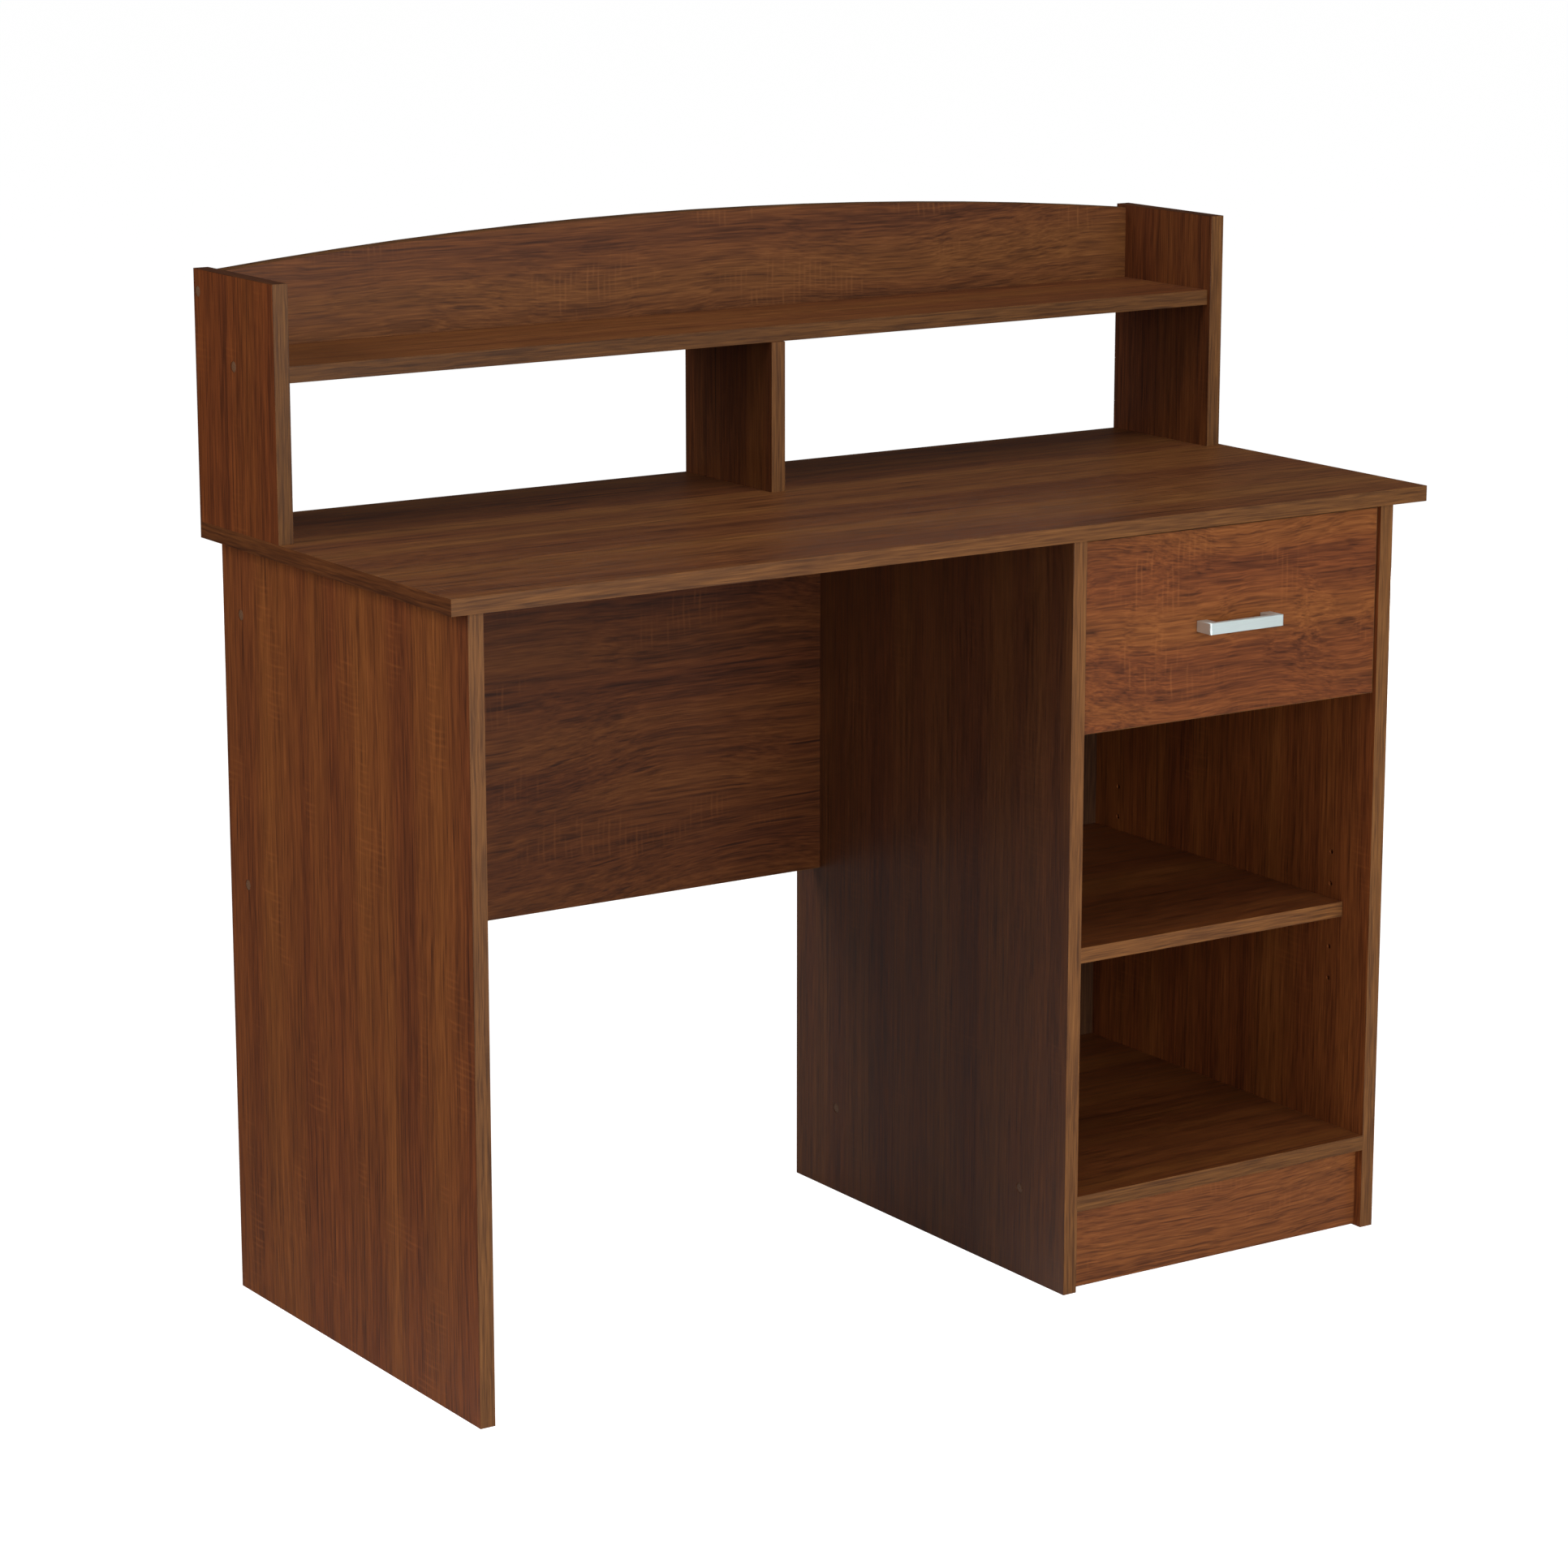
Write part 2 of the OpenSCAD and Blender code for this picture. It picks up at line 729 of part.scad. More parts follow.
module shelf_pin() {
    translate([0, 0, -pin_shank_l]) cylinder(d = pin_hole_d - 2 * fit, h = pin_shank_l);
    cylinder(d = pin_nose_d, h = pin_nose_l - 0.6);
    translate([0, 0, pin_nose_l - 0.6]) cylinder(d1 = pin_nose_d, d2 = pin_nose_d - 1.2, h = 0.6);
}

module shelf_pins() {
    color(zinc) at_pins([0]) shelf_pin();
}

// Hutch -------------------------------------------------------------------------------------

module hutch_side(box) {
    difference() {
        core(box, front_back_top);
        at_hutch_side_screws() capped_drill();
        at_hutch_foot_screws() confirmat_drill();
        at_hutch_dowels() end_dowel_drill();
    }
}

module hutch_left_side() {
    color(walnut) hutch_side(hutch_left_box);
}

module hutch_right_side() {
    color(walnut) hutch_side(hutch_right_box);
}

module hutch_divider() {
    color(walnut) difference() {
        core(divider_box, front_and_back);
        at_hutch_foot_screws() confirmat_drill();
        at_hutch_dowels() end_dowel_drill();
    }
}

module hutch_shelf() {
    color(walnut) difference() {
        core(hutch_shelf_box, front_and_back);
        at_hutch_side_screws() capped_drill();
        at_arch_screws() confirmat_drill();
        at_hutch_dowels() end_dowel_drill();
    }
}

// The arched back's face, with its upper edge lowered by d.
module arch_face(d = 0) {
    intersection() {
        translate([-arch_span / 2, 0]) square([arch_span, arch_end_h + arch_rise]);
        translate([0, arch_end_h + arch_rise - arch_r]) circle(r = arch_r - d, $fn = 240);
    }
}

module arch_solid(d = 0) {
    translate([hutch_mid_x, y_back, hutch_shelf_z]) rotate([90, 0, 0])
        linear_extrude(board) arch_face(d);
}

module hutch_arched_back() {
    color(walnut) difference() {
        arch_solid(band_t);
        at_hutch_side_screws() capped_drill();
        at_arch_screws() confirmat_drill();
        at_hutch_dowels() end_dowel_drill();
    }
}

module arch_strip() {
    translate([hutch_mid_x, y_back, hutch_shelf_z]) rotate([90, 0, 0])
        linear_extrude(board) difference() {
            arch_face(0);
            translate([0, arch_end_h + arch_rise - arch_r]) circle(r = arch_r - band_t, $fn = 240);
        }
}

module hutch_edge_bands() {
    color(walnut_edge) {
        strips(hutch_left_box, front_back_top);
        strips(hutch_right_box, front_back_top);
        strips(divider_box, front_and_back);
        strips(hutch_shelf_box, front_and_back);
        arch_strip();
    }
}

// Drawer ------------------------------------------------------------------------------------

// The groove for the drawer's bottom, in its sides and in its front.
module drawer_groove() {
    span([box_left + drawer_board - groove_depth, box_y - groove_depth, drawer_bottom_z],
         [box_right - drawer_board + groove_depth, box_back_y + over,
          drawer_bottom_z + hardboard_t + groove_slack]);
}

module drawer_cam_bolt() {
    translate([-drawer_board / 2, 0, 0]) rotate([90, 0, 0]) cam_bolt(drawer_cam_offset);
}

module drawer_front() {
    color(walnut) difference() {
        core(drawer_front_box, drawer_front_edges);
        drawer_groove();
        at_handle_screws() translate([0, 0, -over])
            cylinder(d = handle_screw_d + 2 * fit, h = board + 2 * over);
        at_drawer_cams() translate([-drawer_board / 2, 0, 0]) rotate([90, 0, 0]) bolt_thread_drill();
    }
}

module drawer_edge_bands() {
    color(walnut_edge) strips(drawer_front_box, drawer_front_edges);
}

module drawer_side(box) {
    difference() {
        span(box[0], box[1]);
        drawer_groove();
        at_drawer_cams() {
            translate([-drawer_board / 2, 0, 0]) rotate([90, 0, 0]) drawer_bolt_way();
            translate([0, drawer_cam_offset, 0]) rotate([0, -90, 0]) cam_drill(drawer_cam_d, drawer_board);
        }
        at_drawer_back_screws() box_screw_drill();
        for (side = ["left", "right"]) on_side(side) at_runner_screws() runner_screw_drill();
    }
}

module drawer_bolt_way() {
    bolt_way_drill(drawer_cam_offset);
}

module runner_screw_drill() {
    cylinder(d = block_screw_d - 0.5 + 2 * fit, h = 10);
}

module drawer_left_side() {
    color(walnut) drawer_side(side_left_box);
}

module drawer_right_side() {
    color(walnut) drawer_side(side_right_box);
}

module drawer_back() {
    color(walnut) difference() {
        span(drawer_back_box[0], drawer_back_box[1]);
        at_drawer_back_screws() box_screw_drill();
    }
}

module drawer_bottom() {
    bite = groove_depth - 0.3;
    color(brown_hardboard)
        span([box_left + drawer_board - bite, box_y - bite, drawer_bottom_z],
             [box_right - drawer_board + bite, box_back_y, drawer_bottom_z + hardboard_t]);
}

// A square bar bent into a bracket: two legs and a grip, with rounded corners in plan.
module handle() {
    r = 1.5;
    grip = handle_l - 2 * handle_leg;
    color(satin_metal) translate([handle_x, drawer_y, handle_z]) difference() {
        translate([0, 0, -handle_h / 2]) linear_extrude(handle_h) difference() {
            translate([-handle_l / 2, -handle_reach]) square([handle_l, handle_reach]);
            translate([-grip / 2, -handle_reach + handle_bar]) square([grip, handle_reach]);
            for (k = [-1, 1]) translate([k * handle_l / 2, -handle_reach]) mirror([k > 0 ? 1 : 0, 0])
                difference() {
                    translate([-over, -over]) square(r + over);
                    translate([r, r]) circle(r = r);
                }
        }
        for (k = [-1, 1]) aim([k * handle_pitch / 2, over, 0], "-y")
            cylinder(d = handle_screw_d + 2 * fit, h = handle_screw_bite + 1 + over);
    }
}

module handle_screw() {
    head_d = 8;
    head_h = 2.4;
    difference() {
        union() {
            translate([0, 0, -head_h]) cylinder(d1 = head_d - 1.6, d2 = head_d, h = head_h / 2);
            translate([0, 0, -head_h / 2]) cylinder(d = head_d, h = head_h / 2);
            cylinder(d = handle_screw_d, h = board + handle_screw_bite);
        }
        for (a = [0, 90]) rotate(a) translate([-2.4, -0.5, -head_h - over]) cube([4.8, 1, 1.4 + over]);
    }
}

module handle_screws() {
    color(zinc) at_handle_screws() handle_screw();
}

// Drawer slides -----------------------------------------------------------------------------

// The rail's section: a channel whose flanges end in short lips.
function rail_section() = let (r = rail_reach, s = sheet, h = rail_h, l = rail_lip) [
    [0, 0], [r, 0], [r, l], [r - s, l], [r - s, s], [s, s], [s, h - s], [r - s, h - s],
    [r - s, h - l], [r, h - l], [r, h], [0, h]
];

// The runner's section: a flange over the roller, a web, and a leg under the drawer's side.
function runner_section() = let (w = slide_gap - sheet, low = -runner_drop - sheet) [
    [runner_top_u, runner_z], [w, runner_z], [w, low], [slide_gap + drawer_board, low],
    [slide_gap + drawer_board, low + sheet], [slide_gap, low + sheet],
    [slide_gap, runner_z + sheet], [runner_top_u, runner_z + sheet]
];

module along_y(from, length) {
    translate([0, from + length, 0]) rotate([90, 0, 0]) linear_extrude(length) children();
}

// A rivet that carries a roller: thin from b to c, and thick from a to b and from c to d.
module axle(a, b, c, d) {
    rotate([0, 90, 0]) {
        translate([0, 0, a]) cylinder(r = axle_r, h = d - a);
        translate([0, 0, a]) cylinder(r = rivet_r, h = b - a);
        translate([0, 0, c]) cylinder(r = rivet_r, h = d - c);
    }
}

// The spare slots and holes along a slide whose screws start at from, cut through its sheet.
module slide_cuts(u, from, z) {
    through = sheet + 2 * over;
    w = slide_slot[0];
    straight = slide_slot[1] - w;
    for (s = slide_slot_share) translate([u, from + s * slide_l, z]) {
        translate([0, -straight / 2, -w / 2]) cube([through, straight, w]);
        for (k = [-1, 1]) translate([0, k * straight / 2, 0]) rotate([0, 90, 0]) cylinder(d = w, h = through);
    }
    for (s = slide_hole_share) translate([u, from + s * slide_l, z])
        rotate([0, 90, 0]) cylinder(d = slide_hole_d, h = through);
}

module slide_rail(side) {
    // Where the runner's roller meets the front stop's upper edge.
    stop_z = sheet + stop_h;
    stop_y = runner_roller_y - drawer_travel - sqrt(pow(roller_r, 2) - pow(roller_z - stop_z, 2))
        - roller_gap;
    color(white_enamel) on_side(side) {
        difference() {
            along_y(rail_y, slide_l) polygon(rail_section());
            // The front of the upper flange is cut back so that the drawer can be lifted out.
            translate([sheet, rail_y - over, rail_h - rail_lip - 0.3])
                cube([rail_reach, 2.4 * roller_inset + over, rail_lip + over]);
            at_rail_screws() translate([0, 0, -over]) cylinder(d = 3.4, h = 2 * over + sheet);
            slide_cuts(-over, rail_y, rail_screw_z);
        }
        translate([0, rail_roller_y, roller_z]) axle(sheet / 2, roller_u - roller_gap,
            roller_u + roller_w + roller_gap, roller_u + roller_w + roller_gap + rivet_h);
        // Stops for the runner's roller, open and shut.
        span([roller_u, stop_y - sheet, sheet / 2], [roller_u + roller_w, stop_y, stop_z]);
        span([sheet / 2, runner_roller_y + roller_r + roller_gap, sheet / 2],
             [rail_reach - sheet / 2, runner_roller_y + roller_r + roller_gap + sheet, roller_z + 1]);
    }
}

module slide_runner(side) {
    color(white_enamel) on_side(side) {
        difference() {
            along_y(box_y, slide_l) polygon(runner_section());
            // The flange's front end is cut off at a slant.
            translate([runner_top_u, box_y, runner_z - over]) rotate(-35)
                translate([-2 * rail_reach, -rail_reach, 0])
                    cube([2 * rail_reach, 1.5 * rail_reach, sheet + 2 * over]);
            at_runner_screws() translate([0, 0, -over]) cylinder(d = 3.4, h = 2 * over + sheet);
            slide_cuts(slide_gap - sheet - over, box_y, runner_screw_z);
        }
        translate([0, runner_roller_y, roller_z]) axle(roller_u - roller_gap - rivet_h,
            roller_u - roller_gap, roller_u + roller_w + roller_gap, slide_gap - sheet / 2);
    }
}

// A roller, turned from its axle out, with a hub, a web and a tread.
module roller(side, y) {
    bore = axle_r + axle_gap;
    color(white_nylon) on_side(side) translate([roller_u, y, roller_z]) rotate([0, 90, 0])
        rotate_extrude() polygon([
            [bore, 0], [bore, roller_w], [bore + 1.5, roller_w], [bore + 1.5, roller_w - 1],
            [roller_r - 1.8, roller_w - 1], [roller_r - 1.8, roller_w], [roller_r - 0.4, roller_w],
            [roller_r, roller_w - 0.4], [roller_r, 0.4], [roller_r - 0.4, 0]
        ]);
}

module slide_screw(l) {
    translate([0, 0, -slide_screw_head]) difference() {
        cylinder(d = 6.6, h = slide_screw_head);
        for (a = [0, 90]) rotate(a) translate([-1.8, -0.4, -over]) cube([3.6, 0.8, 0.7 + over]);
    }
    cylinder(d = block_screw_d - 0.5, h = l);
}

module slide_rail_left() {
    slide_rail("left");
}

module slide_rail_right() {
    slide_rail("right");
}

module slide_runner_left() {
    slide_runner("left");
}

module slide_runner_right() {
    slide_runner("right");
}

module rail_roller_left() {
    roller("left", rail_roller_y);
}

module rail_roller_right() {
    roller("right", rail_roller_y);
}

module runner_roller_left() {
    roller("left", runner_roller_y);
}

module runner_roller_right() {
    roller("right", runner_roller_y);
}

module rail_screws() {
    color(zinc) for (side = ["left", "right"]) on_side(side) at_rail_screws() slide_screw(12);
}

module runner_screws() {
    color(zinc) for (side = ["left", "right"]) on_side(side) at_runner_screws() slide_screw(9);
}

// Connecting hardware -----------------------------------------------------------------------

module desktop_cam_locks() {
    color(zinc) at_top_cams()
        translate([0, 0, -cam_offset]) rotate([0, 90, 0]) rotate(180) cam_lock(cam_d, board);
}

module desktop_cam_bolts() {
    color(zinc) at_top_cams() translate([board / 2, 0, 0]) cam_bolt(cam_offset);
}

module desktop_dowels() {
    color(beech) at_top_dowels() end_dowel_top();
}

module drawer_cam_locks() {
    color(zinc) at_drawer_cams()
        translate([0, drawer_cam_offset, 0]) rotate([0, -90, 0]) rotate(-90)
            cam_lock(drawer_cam_d, drawer_board);
}

module drawer_cam_bolts() {
    color(zinc) at_drawer_cams() drawer_cam_bolt();
}

module drawer_back_screws() {
    color(zinc) at_drawer_back_screws() box_screw();
}

module modesty_screws() {
    color(zinc) at_modesty_screws() capped_confirmat();
}

module pedestal_bottom_screws() {
    color(zinc) at_bottom_screws() capped_confirmat();
}

module plinth_dowels() {
    color(beech) at_plinth_dowels() end_dowel();
}

// An angle block: one leg under the bottom panel, one against the plinth, and two gussets.
module corner_block() {
    difference() {
        rotate([90, 0, 90]) linear_extrude(block_w, center = true)
            polygon([[0, 0], [block_side, 0], [0, -block_side]]);
        translate([-block_w / 2 + 2, block_t, -block_side])
            cube([block_w - 4, block_side, block_side - block_t]);
        aim([0, block_side / 2 + 1, -block_t - over], "z")
            cylinder(d = block_screw_d + 0.4, h = block_t + 2 * over);
        aim([0, block_t + over, -block_side / 2 - 1], "-y")
            cylinder(d = block_screw_d + 0.4, h = block_t + 2 * over);
    }
}

module plinth_corner_blocks() {
    color(brown_plastic) for (x = block_xs) translate([x, block_y, block_z]) corner_block();
}

module block_screw_drill() {
    cylinder(d = block_screw_d + 2 * fit, h = block_screw_l);
}

module block_screw() {
    translate([0, 0, -block_t - 1.6]) difference() {
        cylinder(d = 7, h = 1.6);
        for (a = [0, 90]) rotate(a) translate([-1.8, -0.4, -over]) cube([3.6, 0.8, 1 + over]);
    }
    translate([0, 0, -block_t]) cylinder(d = block_screw_d, h = block_t + block_screw_l - 0.5);
}

module corner_block_screws() {
    color(zinc) for (x = block_xs) {
        aim([x, block_y + block_side / 2 + 1, block_z], "z") block_screw();
        aim([x, block_y, block_z - block_side / 2 - 1], "-y") block_screw();
    }
}

module hutch_side_screws() {
    color(zinc) at_hutch_side_screws() capped_confirmat();
}

// Caps over every connecting screw whose head shows on the outside or in a compartment.
module screw_caps() {
    color(brown_plastic) {
        at_hutch_side_screws() screw_cap();
        at_modesty_screws() screw_cap();
        at_bottom_screws() screw_cap();
    }
}

module hutch_foot_screws() {
    color(zinc) at_hutch_foot_screws() confirmat();
}

module arched_back_screws() {
    color(zinc) at_arch_screws() confirmat();
}

module hutch_dowels() {
    color(beech) at_hutch_dowels() end_dowel();
}

// Nodes -------------------------------------------------------------------------------------

desktop();
desktop_edge_bands();
left_leg_panel();
modesty_panel();
leg_edge_bands();
pedestal_left_panel();
pedestal_right_panel();
pedestal_bottom_panel();
plinth();
pedestal_back_panel();
pedestal_edge_bands();
adjustable_shelf();
shelf_edge_band();
shelf_pins();
hutch_left_side();
hutch_right_side();
hutch_divider();
hutch_shelf();
hutch_arched_back();
hutch_edge_bands();
drawer_front();
drawer_edge_bands();
drawer_left_side();
drawer_right_side();
drawer_back();
drawer_bottom();
handle();
handle_screws();
slide_rail_left();
slide_rail_right();
slide_runner_left();
slide_runner_right();
rail_roller_left();
rail_roller_right();
runner_roller_left();
runner_roller_right();
rail_screws();
runner_screws();
desktop_cam_locks();
desktop_cam_bolts();
desktop_dowels();
drawer_cam_locks();
drawer_cam_bolts();
drawer_back_screws();
modesty_screws();
pedestal_bottom_screws();
plinth_dowels();
plinth_corner_blocks();
corner_block_screws();
hutch_side_screws();
hutch_foot_screws();
arched_back_screws();
hutch_dowels();
screw_caps();
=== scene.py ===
import json
import math

import bmesh
import bpy
import numpy as np
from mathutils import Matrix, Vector


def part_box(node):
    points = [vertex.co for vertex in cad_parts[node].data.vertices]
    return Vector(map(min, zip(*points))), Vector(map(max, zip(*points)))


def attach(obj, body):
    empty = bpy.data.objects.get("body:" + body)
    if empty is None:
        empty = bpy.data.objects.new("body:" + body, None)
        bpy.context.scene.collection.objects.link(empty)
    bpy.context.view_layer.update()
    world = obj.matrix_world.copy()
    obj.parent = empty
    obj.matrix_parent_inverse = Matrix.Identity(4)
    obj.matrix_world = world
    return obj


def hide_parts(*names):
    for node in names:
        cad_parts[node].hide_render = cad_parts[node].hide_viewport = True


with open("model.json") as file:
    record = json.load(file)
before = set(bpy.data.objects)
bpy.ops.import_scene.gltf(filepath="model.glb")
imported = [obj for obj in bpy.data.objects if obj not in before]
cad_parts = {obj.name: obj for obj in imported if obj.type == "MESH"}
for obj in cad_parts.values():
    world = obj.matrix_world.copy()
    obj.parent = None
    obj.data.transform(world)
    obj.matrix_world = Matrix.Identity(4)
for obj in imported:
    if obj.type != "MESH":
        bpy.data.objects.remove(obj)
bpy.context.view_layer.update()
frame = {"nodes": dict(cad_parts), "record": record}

scene = bpy.context.scene
nodeOf = frame["nodes"]
bodyOf = {n: b for b, members in frame["record"]["behaviour"]["bodies"].items() for n in members}
print("desk: frame loaded,", len(nodeOf), "nodes")


# Small helpers that add shader nodes and give back their output sockets.

def newMaterial(name):
    mat = bpy.data.materials.new(name)
    mat.use_nodes = True
    tree = mat.node_tree
    tree.nodes.clear()
    out = tree.nodes.new("ShaderNodeOutputMaterial")
    bsdf = tree.nodes.new("ShaderNodeBsdfPrincipled")
    tree.links.new(bsdf.outputs[0], out.inputs["Surface"])
    return mat, tree, bsdf


def wire(tree, value, socket):  # value is another node's output, or a plain number or colour
    if isinstance(value, bpy.types.NodeSocket):
        tree.links.new(value, socket)
    else:
        socket.default_value = value


def mathNode(tree, operation, a, b=None, c=None, clamp=False):
    node = tree.nodes.new("ShaderNodeMath")
    node.operation = operation
    node.use_clamp = clamp
    for socket, value in zip(node.inputs, (a, b, c)):
        if value is not None:
            wire(tree, value, socket)
    return node.outputs[0]


def vectorNode(tree, operation, a, b):
    node = tree.nodes.new("ShaderNodeVectorMath")
    node.operation = operation
    wire(tree, a, node.inputs[0])
    wire(tree, b, node.inputs["Scale" if operation == "SCALE" else 1])
    return node.outputs[0]


def remap(tree, value, fromLow, fromHigh, toLow=-1.0, toHigh=1.0, smooth=False):
    node = tree.nodes.new("ShaderNodeMapRange")
    node.interpolation_type = "SMOOTHSTEP" if smooth else "LINEAR"
    for name, v in (("Value", value), ("From Min", fromLow), ("From Max", fromHigh),
                    ("To Min", toLow), ("To Max", toHigh)):
        wire(tree, v, node.inputs[name])
    return node.outputs[0]


def noise(tree, vector, waves, detail=0.0, rough=0.5):  # waves to the metre along x, y and z
    node = tree.nodes.new("ShaderNodeTexNoise")
    node.inputs["Scale"].default_value = 1.0
    node.inputs["Detail"].default_value = detail
    node.inputs["Roughness"].default_value = rough
    tree.links.new(vectorNode(tree, "MULTIPLY", vector, waves), node.inputs["Vector"])
    return node.outputs["Fac"]


def mixColour(tree, blend, factor, a, b):
    node = tree.nodes.new("ShaderNodeMix")
    node.data_type = "RGBA"
    node.blend_type = blend
    wire(tree, factor, node.inputs["Factor"])
    wire(tree, a, node.inputs[6])
    wire(tree, b, node.inputs[7])
    return node.outputs[2]


def ramp(tree, value, stops):
    node = tree.nodes.new("ShaderNodeValToRGB")
    elements = node.color_ramp.elements
    while len(elements) < len(stops):
        elements.new(0.5)
    for element, (place, colour) in zip(elements, stops):
        element.position = place
        element.color = (*colour, 1.0)
    wire(tree, value, node.inputs["Fac"])
    return node.outputs["Color"]


def bump(tree, height, strength, distance, bsdf):
    node = tree.nodes.new("ShaderNodeBump")
    node.inputs["Strength"].default_value = strength
    node.inputs["Distance"].default_value = distance
    wire(tree, height, node.inputs["Height"])
    tree.links.new(node.outputs[0], bsdf.inputs["Normal"])


# Printed walnut. Each noise has its waves to the metre, along the grain first. Of its values only
# the part named span is used, and it is stretched to run from -1 to 1, or from 0 to 1.
walnut = {
    "turn": {"x": (0.0, 0.0, 0.0), "y": (0.0, 0.0, -math.pi / 2), "z": (0.0, math.pi / 2, 0.0)},
    "shades": [(0.12, (0.046, 0.0145, 0.0060)),  # level and colour, from the darkest to the palest
               (0.38, (0.104, 0.0320, 0.0110)),
               (0.62, (0.182, 0.0570, 0.0165)),
               (0.92, (0.285, 0.0970, 0.0280))],
    "roughness": (0.41, 0.52),
    "specular": 0.15,
    "bend": {"waves": (2.6, 6.5, 6.5), "detail": 1.0},
    "crinkle": {"waves": (34.0, 42.0, 42.0)},
    "crinkleReach": 0.004,  # metres, at wavy 1
    "broad": {"waves": (0.9, 21.0, 21.0), "detail": 1.0, "span": (0.30, 0.70)},
    "streak": {"waves": (1.8, 115.0, 115.0), "detail": 2.0, "rough": 0.65, "span": (0.28, 0.72)},
    "fine": {"waves": (14.0, 480.0, 480.0), "detail": 2.0, "rough": 0.8, "span": (0.30, 0.70)},
    "pores": {"waves": (24.0, 640.0, 640.0), "span": (0.50, 0.72)},
    "poresOver": (-0.7, 0.6),  # pores are strongest where streak is below the first of these
    "poresLeft": 0.4,  # their share where it is above the second
    "veins": (0.62, 0.98),  # veins are narrow lines where streak is this high
    "middle": 0.56,  # the level that the shares below add to
    "shares": {"broad": 0.085, "streak": 0.11, "veins": -0.30, "fine": 0.19,
               "pores": -0.12, "wavyPores": -0.10},
    "hueOver": (-0.8, 0.8),  # the tint goes from the first to the second over this part of broad
    "hues": ((1.0, 0.93, 0.97), (1.0, 1.04, 0.98)),
    "relief": {"waves": (14.0, 620.0, 620.0)},
    "reliefStrength": 0.4,
    "reliefDepth": 0.00010,
}
sawRipples = {  # pale saw marks, straight across the grain
    "pitch": 0.0062,  # metres along the grain
    "patches": {"waves": (8.0, 17.0, 17.0), "detail": 1.0, "span": (0.54, 0.68)},
    "breaks": {"waves": (130.0, 30.0, 30.0), "span": (0.40, 0.66)},
    "drift": 9.0,  # radians
    "sharpness": 3.0,  # the power that narrows them
    "share": 0.26,  # at ripple 1
    "lift": 1.2,  # how much paler than the palest shade
}


def grainNoise(tree, vector, waves, span=None, detail=0.0, rough=0.5, low=-1.0):
    value = noise(tree, vector, waves, detail, rough)
    return remap(tree, value, *span, low, 1.0) if span else value


